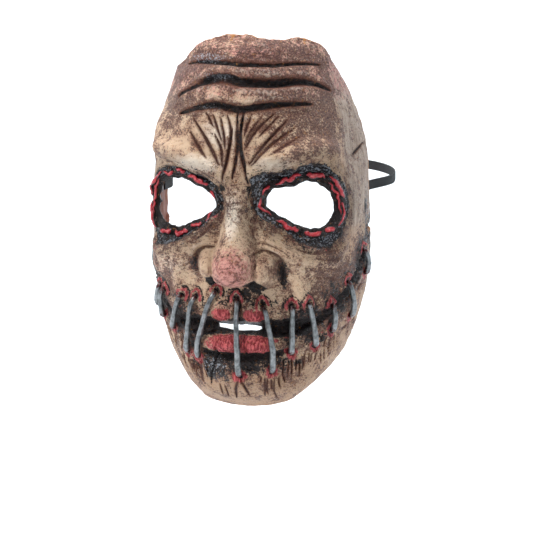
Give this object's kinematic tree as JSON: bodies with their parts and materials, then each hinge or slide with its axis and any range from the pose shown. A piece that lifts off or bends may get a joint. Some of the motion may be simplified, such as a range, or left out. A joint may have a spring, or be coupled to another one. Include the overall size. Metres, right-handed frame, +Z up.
{
  "type": "latex horror mask",
  "caption": "Full-face latex monster mask, open at the back, with torn eye holes, a heavy nose, a mouth sewn shut by rod stitches and an elastic head strap.",
  "frame": {"origin": "middle of the hollow's open back, midway between the side edges and level with the eye holes, where the head goes in", "axes": "+X to the right of someone facing the mask, -Y out of the face, +Y out of the open back, +Z up"},
  "size_m": [0.1572, 0.2194, 0.2367],
  "materials": {
    "latex_skin": "hand-painted flesh latex, satin, with dark brown stipple, black creases and red wounds",
    "silver_stitch": "silver-grey paint over a slightly hammered surface",
    "black_elastic": "matte woven black elastic"
  },
  "bodies": {
    "root": {"mask_shell": "latex_skin", "elastic_strap": "black_elastic", "stitch_centre": "silver_stitch", "stitch_right_1": "silver_stitch", "stitch_right_2": "silver_stitch", "stitch_right_3": "silver_stitch", "stitch_right_4": "silver_stitch", "stitch_right_5": "silver_stitch", "stitch_right_6": "silver_stitch", "stitch_left_1": "silver_stitch", "stitch_left_2": "silver_stitch", "stitch_left_3": "silver_stitch", "stitch_left_4": "silver_stitch", "stitch_left_5": "silver_stitch", "stitch_left_6": "silver_stitch"}
  },
  "joints": []
}
